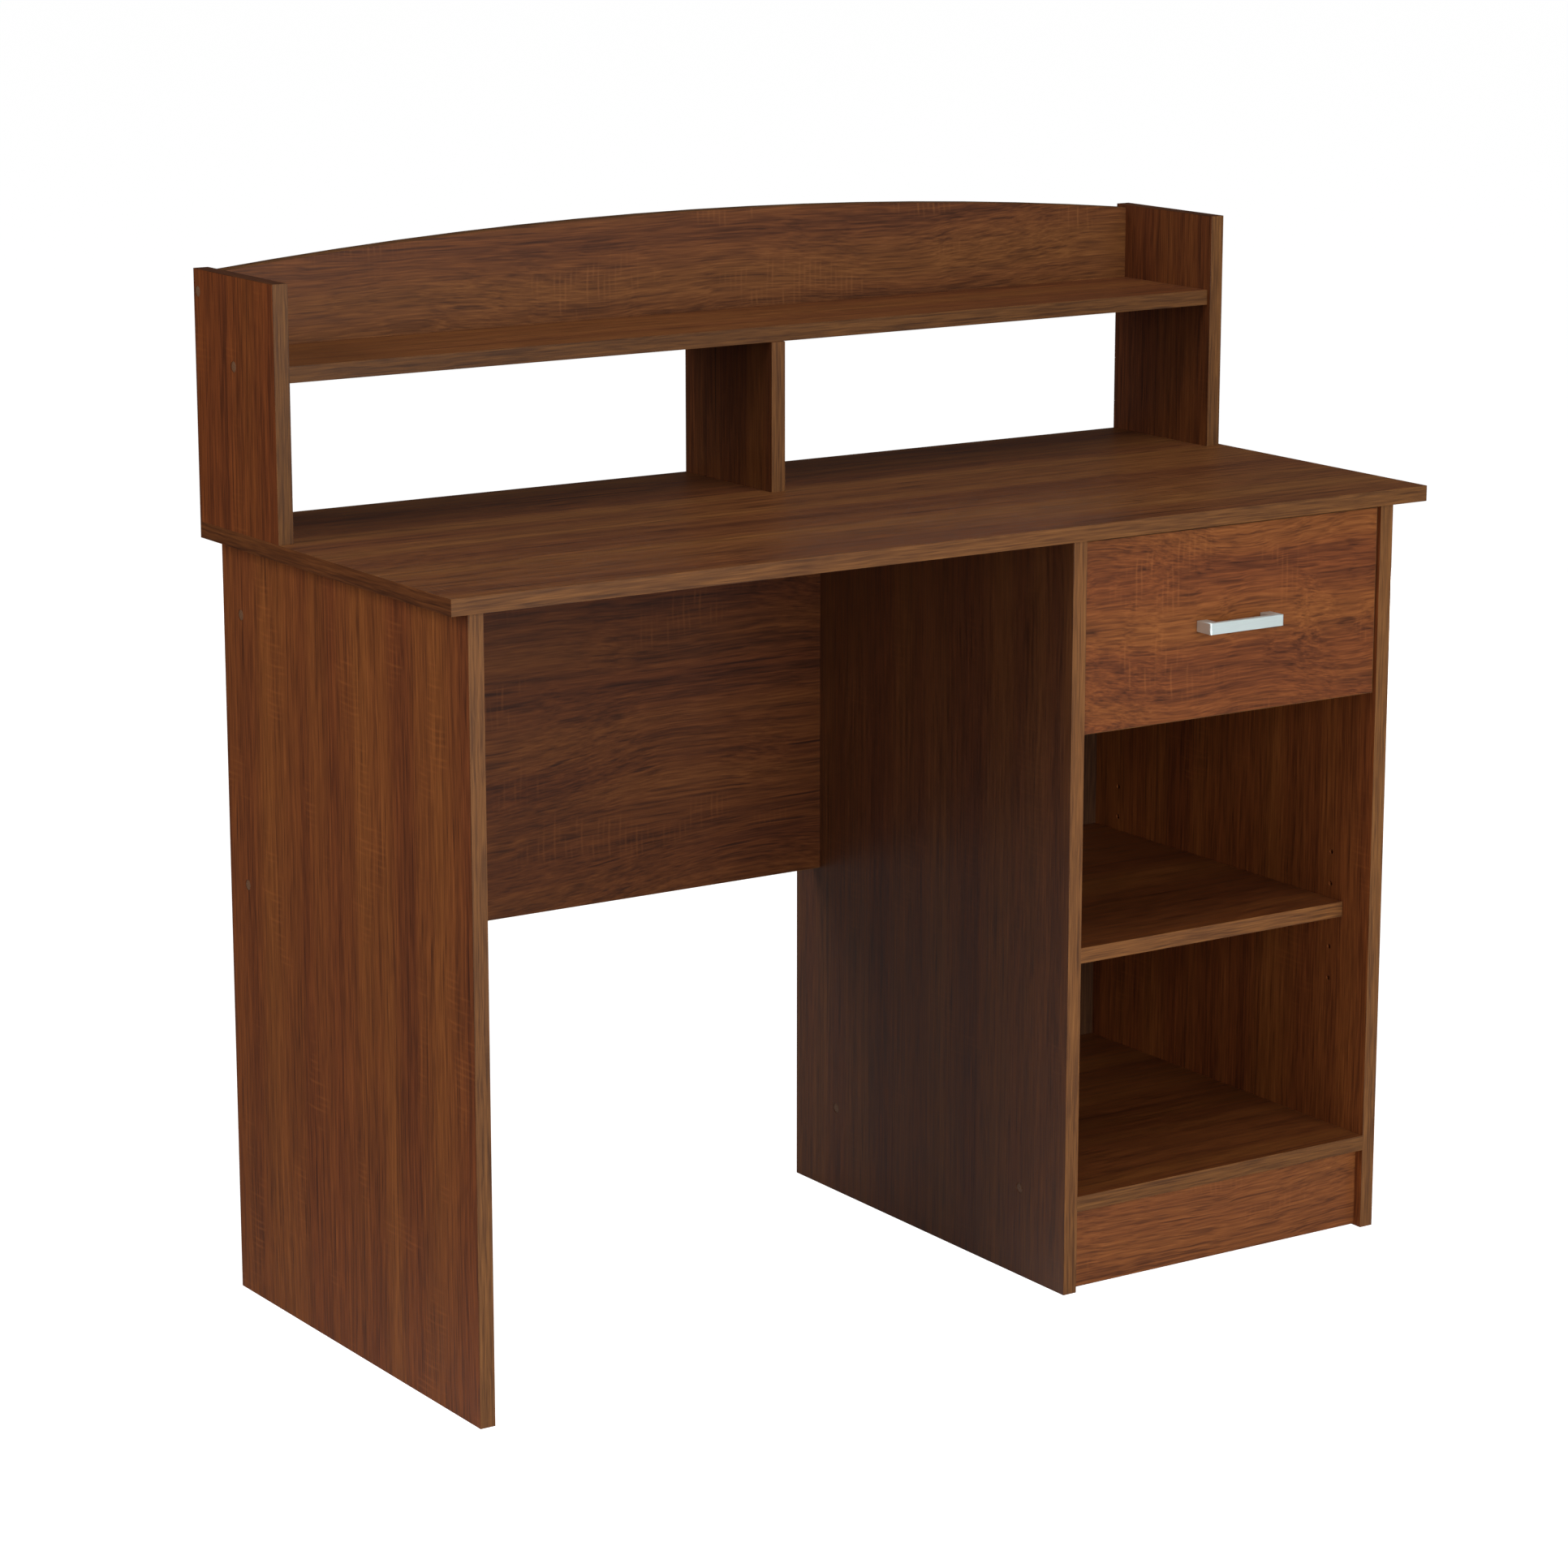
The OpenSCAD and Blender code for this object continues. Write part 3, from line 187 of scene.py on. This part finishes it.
# Streaks of three widths run along the grain. Two soft noises push them sideways: wander, in
# metres, bends them over a hand's breadth, and wavy over a finger's. Dark veins and pores follow
# them. The level that they add up to picks a shade, which tone and tint multiply, and swing is
# how much the broad streaks and the veins differ. Pale saw ripples cross the grain in patches.
def walnutBoard(name, axis, slide, tone, wander, wavy, ripple, tint=(1.0, 1.0, 1.0), swing=1.0,
                specular=walnut["specular"]):
    mat, tree, bsdf = newMaterial(name)
    coord = tree.nodes.new("ShaderNodeTexCoord")
    mapping = tree.nodes.new("ShaderNodeMapping")
    mapping.inputs["Rotation"].default_value = walnut["turn"][axis]
    mapping.inputs["Location"].default_value = slide
    tree.links.new(coord.outputs["Object"], mapping.inputs["Vector"])
    place = mapping.outputs[0]

    bend = mathNode(tree, "SUBTRACT", grainNoise(tree, place, **walnut["bend"]), 0.5)
    crinkle = mathNode(tree, "SUBTRACT", grainNoise(tree, place, **walnut["crinkle"]), 0.5)
    crinkle = mathNode(tree, "MULTIPLY", crinkle, walnut["crinkleReach"] * wavy)
    push = mathNode(tree, "MULTIPLY_ADD", bend, wander, crinkle)
    sideways = tree.nodes.new("ShaderNodeCombineXYZ")
    tree.links.new(push, sideways.inputs[1])
    tree.links.new(push, sideways.inputs[2])
    flow = vectorNode(tree, "ADD", place, sideways.outputs[0])

    broad = grainNoise(tree, flow, **walnut["broad"])
    streak = grainNoise(tree, flow, **walnut["streak"])
    fine = grainNoise(tree, flow, **walnut["fine"])
    fewer = remap(tree, streak, *walnut["poresOver"], 1.0, walnut["poresLeft"])
    pores = mathNode(tree, "MULTIPLY", grainNoise(tree, flow, **walnut["pores"], low=0.0), fewer)
    veins = remap(tree, streak, *walnut["veins"], 0.0)

    share = walnut["shares"]
    level = mathNode(tree, "MULTIPLY_ADD", broad, share["broad"] * swing, walnut["middle"])
    level = mathNode(tree, "MULTIPLY_ADD", streak, share["streak"] * (1 + swing) / 2, level)
    level = mathNode(tree, "MULTIPLY_ADD", veins, share["veins"] * swing, level)
    level = mathNode(tree, "MULTIPLY_ADD", fine, share["fine"], level)
    poreShare = share["pores"] + share["wavyPores"] * wavy
    level = mathNode(tree, "MULTIPLY_ADD", pores, poreShare, level, clamp=True)
    shades = [(stop, [tone * c * t for c, t in zip(colour, tint)]) for stop, colour in walnut["shades"]]
    colour = ramp(tree, level, shades)
    hue = ramp(tree, remap(tree, broad, *walnut["hueOver"], 0.0), list(zip((0.0, 1.0), walnut["hues"])))
    colour = mixColour(tree, "MULTIPLY", min(1.0, swing), colour, hue)

    # Saw ripples are a sine along the grain, sharpened, broken into dashes and kept to patches.
    along = tree.nodes.new("ShaderNodeSeparateXYZ")
    tree.links.new(place, along.inputs[0])
    patchWaves = noise(tree, place, sawRipples["patches"]["waves"], sawRipples["patches"]["detail"])
    turns = mathNode(tree, "MULTIPLY", along.outputs[0], 2 * math.pi / sawRipples["pitch"])
    phase = mathNode(tree, "MULTIPLY_ADD", patchWaves, sawRipples["drift"], turns)
    wave = mathNode(tree, "MULTIPLY_ADD", mathNode(tree, "SINE", phase), 0.5, 0.5)
    lines = mathNode(tree, "POWER", wave, sawRipples["sharpness"])
    patch = remap(tree, patchWaves, *sawRipples["patches"]["span"], 0.0, smooth=True)
    dashes = grainNoise(tree, place, **sawRipples["breaks"], low=0.0)
    ripples = mathNode(tree, "MULTIPLY", mathNode(tree, "MULTIPLY", lines, patch), dashes)
    ripples = mathNode(tree, "MULTIPLY", ripples, sawRipples["share"] * ripple)
    palest = [sawRipples["lift"] * c for c in shades[-1][1]]
    colour = mixColour(tree, "MIX", ripples, colour, (*palest, 1.0))
    tree.links.new(colour, bsdf.inputs["Base Color"])

    tree.links.new(remap(tree, fine, -1.0, 1.0, *walnut["roughness"]), bsdf.inputs["Roughness"])
    bsdf.inputs["Specular IOR Level"].default_value = specular
    relief = grainNoise(tree, place, **walnut["relief"])
    bump(tree, relief, walnut["reliefStrength"], walnut["reliefDepth"], bsdf)
    return mat


# Every board has its own slide along and across the print, so that no two carry the same figure. Some
# boards' tones and tints also paint light and shade, as marked below.
boards = {
    # desktop: the tint greys the whole board, which is a painted sheen on its top
    "desktop": {"axis": "x", "slide": (0.31, 0.12, 0.05), "tone": 0.94,
                "wander": 0.03, "wavy": 0.3, "ripple": 0.6, "tint": (1.0, 1.14, 1.22), "swing": 1.4},
    "left_leg_panel": {"axis": "z", "slide": (1.7, 0.23, 0.31), "tone": 1.04,
                       "wander": 0.014, "wavy": 0.2, "ripple": 1.0, "tint": (1.02, 0.93, 0.82)},
    # modesty_panel: tone 0.5 partly gives its darker figure and partly paints the shade under the desktop
    "modesty_panel": {"axis": "x", "slide": (2.9, 0.61, 0.17), "tone": 0.5,
                      "wander": 0.075, "wavy": 0.3, "ripple": 1.3, "tint": (1.0, 0.93, 0.85), "swing": 1.7},
    # pedestal_left_panel: tone 0.7 paints the shadow that the left leg and the desktop cast on it
    "pedestal_left_panel": {"axis": "z", "slide": (4.2, 0.37, 0.83), "tone": 0.7,
                            "wander": 0.014, "wavy": 0.2, "ripple": 0.5, "specular": 0.6},
    # pedestal_right_panel: tone 1.28 and the warmer tint paint light onto its inner face inside the pedestal
    "pedestal_right_panel": {"axis": "z", "slide": (5.6, 0.91, 0.29), "tone": 1.28,
                             "wander": 0.014, "wavy": 0.2, "ripple": 0.5, "tint": (1.05, 0.95, 0.85)},
    # pedestal_bottom_panel: the low tone and the deeper tint paint shade inside the pedestal
    "pedestal_bottom_panel": {"axis": "x", "slide": (6.3, 0.13, 0.57), "tone": 0.74,
                              "wander": 0.03, "wavy": 0.3, "ripple": 0.5, "tint": (1.0, 0.94, 0.82)},
    "plinth": {"axis": "x", "slide": (7.1, 0.71, 0.41), "tone": 1.0,
               "wander": 0.05, "wavy": 0.6, "ripple": 0.6},
    # adjustable_shelf: the lower tone and the deeper tint paint shade inside the pedestal
    "adjustable_shelf": {"axis": "x", "slide": (8.4, 0.33, 0.93), "tone": 0.88,
                         "wander": 0.03, "wavy": 0.3, "ripple": 0.5, "tint": (1.0, 0.96, 0.88)},
    "hutch_left_side": {"axis": "z", "slide": (9.5, 0.57, 0.11), "tone": 0.96,
                        "wander": 0.012, "wavy": 0.2, "ripple": 0.5, "tint": (1.0, 0.86, 0.66)},
    # hutch_right_side: tone 0.62 paints the shade inside the hutch on its inner face
    "hutch_right_side": {"axis": "z", "slide": (10.3, 0.87, 0.67), "tone": 0.62,
                         "wander": 0.012, "wavy": 0.2, "ripple": 0.3, "tint": (1.0, 0.9, 0.8)},
    # hutch_divider: tone 0.6 paints the shade inside the hutch
    "hutch_divider": {"axis": "z", "slide": (11.9, 0.19, 0.37), "tone": 0.6,
                      "wander": 0.012, "wavy": 0.2, "ripple": 0.3, "tint": (1.0, 0.94, 0.8)},
    # hutch_shelf: the tint greys the colour, a painted sheen on its top
    "hutch_shelf": {"axis": "x", "slide": (12.7, 0.43, 0.79), "tone": 0.95,
                    "wander": 0.03, "wavy": 0.3, "ripple": 0.4, "tint": (1.0, 1.08, 1.12)},
    "hutch_arched_back": {"axis": "x", "slide": (13.3, 0.77, 0.23), "tone": 0.7, "wander": 0.045,
                          "wavy": 0.4, "ripple": 1.3, "tint": (1.0, 1.1, 1.12), "swing": 0.8},
    "drawer_front": {"axis": "x", "slide": (14.6, 0.29, 0.51), "tone": 0.97,
                     "wander": 0.11, "wavy": 0.7, "ripple": 1.0, "tint": (1.0, 0.97, 0.9), "swing": 1.2},
    "drawer_left_side": {"axis": "y", "slide": (15.8, 0.61, 0.89), "tone": 0.9,
                         "wander": 0.02, "wavy": 0.3, "ripple": 0.3},
    "drawer_right_side": {"axis": "y", "slide": (16.4, 0.17, 0.13), "tone": 0.9,
                          "wander": 0.02, "wavy": 0.3, "ripple": 0.3},
    "drawer_back": {"axis": "x", "slide": (17.7, 0.83, 0.47), "tone": 0.9,
                    "wander": 0.02, "wavy": 0.3, "ripple": 0.3},
    "pedestal_back_panel": {"axis": "z", "slide": (18.2, 0.39, 0.73), "tone": 0.5,
                            "wander": 0.02, "wavy": 0.3, "ripple": 0.3, "tint": (0.72, 0.95, 1.3)},
    "drawer_bottom": {"axis": "y", "slide": (19.9, 0.53, 0.19), "tone": 0.8,
                      "wander": 0.02, "wavy": 0.3, "ripple": 0.3},
}
boardFinish = {node: walnutBoard("walnut_" + node, **settings) for node, settings in boards.items()}

# Edge bands carry a straighter, greyer print than the boards, and come in three sets. The hutch's set is
# darker, which is painted shade, and the loose shelf's set is lighter, which is painted light.
bandPrint = {"wander": 0.004, "wavy": 0.4, "ripple": 0.1, "swing": 0.2}
bandGrain = {
    "x": {"slide": (20.3, 0.31, 0.71), "tone": 0.88, "tint": (0.94, 1.22, 1.25)},
    "y": {"slide": (21.1, 0.47, 0.27), "tone": 0.62, "tint": (1.0, 0.98, 0.90)},
    "z": {"slide": (22.7, 0.11, 0.59), "tone": 1.02, "tint": (0.94, 1.24, 1.32)},
}
# the hutch's 0.80 is painted shade and the shelf's 1.25 is painted light
bandTone = {"band_": 1.0, "hutchShadedBand_": 0.80, "shelfLitBand_": 1.25}
bandSetOf = {"hutch_edge_bands": "hutchShadedBand_", "shelf_edge_band": "shelfLitBand_"}  # the others take band_
bandFinish = {}
for setName, setTone in bandTone.items():
    bandFinish[setName] = []
    for axis, grain in bandGrain.items():
        settings = {**bandPrint, **grain, "tone": grain["tone"] * setTone}
        bandFinish[setName].append(walnutBoard(setName + axis, axis, **settings))
print("desk: walnut made")


# Metals and plastics. One noise varies the base colour and the roughness and gives a fine relief,
# and a cloud a hand wide varies the colour again. mottle is the share of both.
plain = {
    "speck": {"detail": 3.0, "rough": 0.6},
    "cloud": {"waves": (11.0, 11.0, 11.0), "detail": 2.0},
    "span": (0.3, 0.7),
    "glossier": -0.05,
    "duller": 0.06,
    "specular": 0.5,
    "reliefStrength": 0.3,
}


def plainFinish(name, colour, roughness, waves, metallic=0.0, mottle=0.05, depth=0.00004):
    mat, tree, bsdf = newMaterial(name)
    place = tree.nodes.new("ShaderNodeTexCoord").outputs["Object"]
    speck = noise(tree, place, waves, **plain["speck"])
    cloud = noise(tree, place, **plain["cloud"])
    shade = mathNode(tree, "MULTIPLY_ADD", remap(tree, cloud, *plain["span"]), mottle, 1.0)
    shade = mathNode(tree, "MULTIPLY_ADD", remap(tree, speck, *plain["span"]), mottle, shade)
    tree.links.new(vectorNode(tree, "SCALE", colour, shade), bsdf.inputs["Base Color"])
    rough = remap(tree, speck, *plain["span"], roughness + plain["glossier"], roughness + plain["duller"])
    tree.links.new(rough, bsdf.inputs["Roughness"])
    bsdf.inputs["Metallic"].default_value = metallic
    bsdf.inputs["Specular IOR Level"].default_value = plain["specular"]
    bump(tree, speck, plain["reliefStrength"], depth, bsdf)
    return mat


finish = {
    "aluminium": plainFinish("satinAluminium", (0.80, 0.91, 0.90), 0.38, (60.0, 2400.0, 2400.0),
                             metallic=0.8, mottle=0.03, depth=0.00002),  # brushed along the handle
    "zinc": plainFinish("zincSteel", (0.62, 0.61, 0.58), 0.34, (900.0, 900.0, 900.0),
                        metallic=1.0, mottle=0.08),
    "enamel": plainFinish("whiteEnamel", (0.78, 0.77, 0.73), 0.36, (700.0, 700.0, 700.0), mottle=0.02),
    "nylon": plainFinish("whiteNylon", (0.84, 0.84, 0.80), 0.48, (500.0, 500.0, 500.0), mottle=0.02),
    "beech": plainFinish("beechDowel", (0.58, 0.39, 0.21), 0.62, (300.0, 300.0, 30.0), mottle=0.12),
    "plastic": plainFinish("brownPlastic", (0.150, 0.072, 0.036), 0.30, (600.0, 600.0, 600.0)),
}
print("desk: metals and plastics made")


easing = {
    "mergeGap": 2e-6,  # metres
    "cutGap": 1e-6,
    "flatWithin": 0.6,  # degrees between the facets of one flat face
    "corner": 30.0,  # degrees, the least turn that is a corner
    "boards": {"width": 0.0002, "segments": 2, "shortest": 0.011},
    "handle": {"width": 0.0006, "segments": 3, "shortest": 0.002},
}


# A merged copy of a CAD node, with a bevel on its convex corners that are longer than shortest.
# Each of the cuts is an axis and a place on it, and parts what is joined there. Three materials
# are for grain along x, y and z, and each face takes the one that runs along its longest side.
def easedCopy(node, name, materials, width, segments, shortest, cuts=()):
    bm = bmesh.new()
    bm.from_mesh(nodeOf[node].data)
    bmesh.ops.remove_doubles(bm, verts=bm.verts, dist=easing["mergeGap"])
    flatAngle, cornerAngle = math.radians(easing["flatWithin"]), math.radians(easing["corner"])
    bmesh.ops.dissolve_limit(bm, angle_limit=flatAngle, verts=bm.verts, edges=bm.edges)
    for axis, place in cuts:
        point, across = [0.0] * 3, [0.0] * 3
        point[axis], across[axis] = place, 1.0
        bmesh.ops.bisect_plane(bm, geom=bm.verts[:] + bm.edges[:] + bm.faces[:], dist=easing["cutGap"],
                               plane_co=point, plane_no=across)
    bm.normal_update()
    weight = bm.edges.layers.float.new("bevel_weight_edge")
    for e in bm.edges:
        isCorner = len(e.link_faces) == 2 and e.calc_face_angle(0.0) > cornerAngle
        if isCorner and e.is_convex and e.calc_length() > shortest:
            e[weight] = 1.0
    if len(materials) == 3:
        for face in bm.faces:
            corners = np.array([v.co for v in face.verts])
            face.material_index = int(np.argmax(corners.max(0) - corners.min(0)))
    mesh = bpy.data.meshes.new(name)
    bm.to_mesh(mesh)
    bm.free()
    for mat in materials:
        mesh.materials.append(mat)
    piece = bpy.data.objects.new(name, mesh)
    scene.collection.objects.link(piece)
    ease = piece.modifiers.new("eased", "BEVEL")
    ease.limit_method = "WEIGHT"
    ease.width = width
    ease.segments = segments
    ease.use_clamp_overlap = False
    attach(piece, bodyOf[node])
    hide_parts(node)


# Strips that meet in one solid are parted at the boards' faces, so that each keeps its own grain.
bandCuts = {
    "pedestal_edge_bands": [(0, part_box("pedestal_left_panel")[1].x),
                            (0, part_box("pedestal_right_panel")[0].x)],
    "hutch_edge_bands": [(0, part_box("hutch_left_side")[1].x),
                         (0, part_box("hutch_right_side")[0].x),
                         (2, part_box("hutch_shelf")[0].z)],
}
for node in boards:
    easedCopy(node, "eased_" + node, [boardFinish[node]], **easing["boards"])
for node in nodeOf:
    if node.endswith(("edge_band", "edge_bands")):
        threeWays = bandFinish[bandSetOf.get(node, "band_")]
        easedCopy(node, "eased_" + node, threeWays, cuts=bandCuts.get(node, ()), **easing["boards"])
easedCopy("handle", "barHandle", [finish["aluminium"]], **easing["handle"])
print("desk: boards, bands and handle eased")


# The other fittings keep their CAD meshes. The first of these words in a node's name decides.
fittings = {"roller": "nylon", "slide_": "enamel", "dowels": "beech", "corner_blocks": "plastic",
            "caps": "plastic", "": "zinc"}
for node, obj in nodeOf.items():
    if not obj.hide_render:
        kind = next(kind for word, kind in fittings.items() if word in node)
        obj.data.materials.clear()
        obj.data.materials.append(finish[kind])
print("desk: fittings finished")


stage = {
    "floorSize": 60.0,
    "floorRoughness": 0.9,
    "floorTone": (0.74, 0.32),  # in front of the desk and behind it
    "floorFall": (-0.35, 0.55),  # y from and to
    "floorBeside": (-1.0, -0.5, 0.3, 1.0),  # x from and to, and the tone's share at each
    "floorGlow": 0.98,
    "white": (1.0, 1.0, 1.0, 1.0),
    "roomStrength": 0.05,
    "roomGlow": 1.0,
}


# The floor throws light back on the desk from the front, and little of it from behind and from
# beside the leg. Seen directly, it is near white all over.
def makeFloor():
    half = stage["floorSize"] / 2
    corners = [(-half, -half, 0), (half, -half, 0), (half, half, 0), (-half, half, 0)]
    mesh = bpy.data.meshes.new("floor")
    mesh.from_pydata(corners, [], [(0, 1, 2, 3)])
    floor = bpy.data.objects.new("floor", mesh)
    scene.collection.objects.link(floor)
    mat, tree, bsdf = newMaterial("paleFloor")
    bsdf.inputs["Roughness"].default_value = stage["floorRoughness"]
    bsdf.inputs["Specular IOR Level"].default_value = 0.0
    coord = tree.nodes.new("ShaderNodeTexCoord")
    place = tree.nodes.new("ShaderNodeSeparateXYZ")
    tree.links.new(coord.outputs["Object"], place.inputs[0])
    behind = remap(tree, place.outputs[1], *stage["floorFall"], *stage["floorTone"], smooth=True)
    beside = remap(tree, place.outputs[0], *stage["floorBeside"], smooth=True)
    tree.links.new(mathNode(tree, "MULTIPLY", behind, beside), bsdf.inputs["Base Color"])
    rays = tree.nodes.new("ShaderNodeLightPath")
    glow = mathNode(tree, "MULTIPLY", rays.outputs["Is Camera Ray"], stage["floorGlow"])
    bsdf.inputs["Emission Color"].default_value = stage["white"]
    tree.links.new(glow, bsdf.inputs["Emission Strength"])
    mesh.materials.append(mat)


# The room is white where it is seen directly, and lights the desk a little from all round.
def makeRoom():
    world = bpy.data.worlds.new("studio")
    world.use_nodes = True
    tree = world.node_tree
    background = tree.nodes["Background"]
    background.inputs["Color"].default_value = stage["white"]
    rays = tree.nodes.new("ShaderNodeLightPath")
    level = remap(tree, rays.outputs["Is Camera Ray"], 0.0, 1.0, stage["roomStrength"], stage["roomGlow"])
    tree.links.new(level, background.inputs["Strength"])
    scene.world = world


lights = {  # size in metres, power in watts
    "frontBox": {"place": (-0.1, -3.9, 1.35), "target": (0.1, 0.0, 0.5), "size": (3.2, 2.2), "power": 138.0},
    "leftBox": {"place": (-3.3, 0.30, 1.9), "target": (-0.4, 0.0, 0.7), "size": (2.2, 2.2), "power": 76.0},
    "topBox": {"place": (0.0, -0.9, 3.2), "target": (0.0, 0.0, 0.7), "size": (1.8, 1.8), "power": 32.0},
    "backBox": {"place": (2.6, 2.9, 0.40), "target": (0.0, 0.2, 0.45), "size": (2.2, 0.6), "power": 95.0},
}


def makeLight(name, place, target, size, power):
    data = bpy.data.lights.new(name, "AREA")
    data.shape = "RECTANGLE"
    data.size, data.size_y = size
    data.energy = power
    light = bpy.data.objects.new(name, data)
    light.location = place
    light.rotation_mode = "QUATERNION"
    light.rotation_quaternion = (Vector(target) - Vector(place)).to_track_quat("-Z", "Y")
    scene.collection.objects.link(light)


camera = {
    "place": (-1.834404, -3.736921, 1.442961),  # from the desktop's rear left corner, and from the floor
    "yaw": 33.516,  # degrees to the right of straight back
    "pitch": 12.954,  # degrees down
    "lens": 104.89552,  # millimetres, on a sensor 36 wide
    "sensor": 36.0,
    "farthest": 200.0,
}


def makeCamera():
    data = bpy.data.cameras.new("deskCamera")
    data.sensor_width = camera["sensor"]
    data.lens = camera["lens"]
    data.clip_end = camera["farthest"]
    cam = bpy.data.objects.new("deskCamera", data)
    deskLow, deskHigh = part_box("desktop_edge_bands")
    x, y, z = camera["place"]
    cam.location = (deskLow.x + x, deskHigh.y + y, z)
    yaw, pitch = math.radians(camera["yaw"]), math.radians(camera["pitch"])
    forward = Vector((math.sin(yaw) * math.cos(pitch), math.cos(yaw) * math.cos(pitch), -math.sin(pitch)))
    cam.rotation_mode = "QUATERNION"
    cam.rotation_quaternion = forward.to_track_quat("-Z", "Y")
    scene.collection.objects.link(cam)
    scene.camera = cam


makeFloor()
makeRoom()
for lightName, settings in lights.items():
    makeLight(lightName, **settings)
makeCamera()
scene.view_settings.view_transform = "Standard"
print("desk: stage set")

bpy.context.view_layer.update()
print("desk: done")
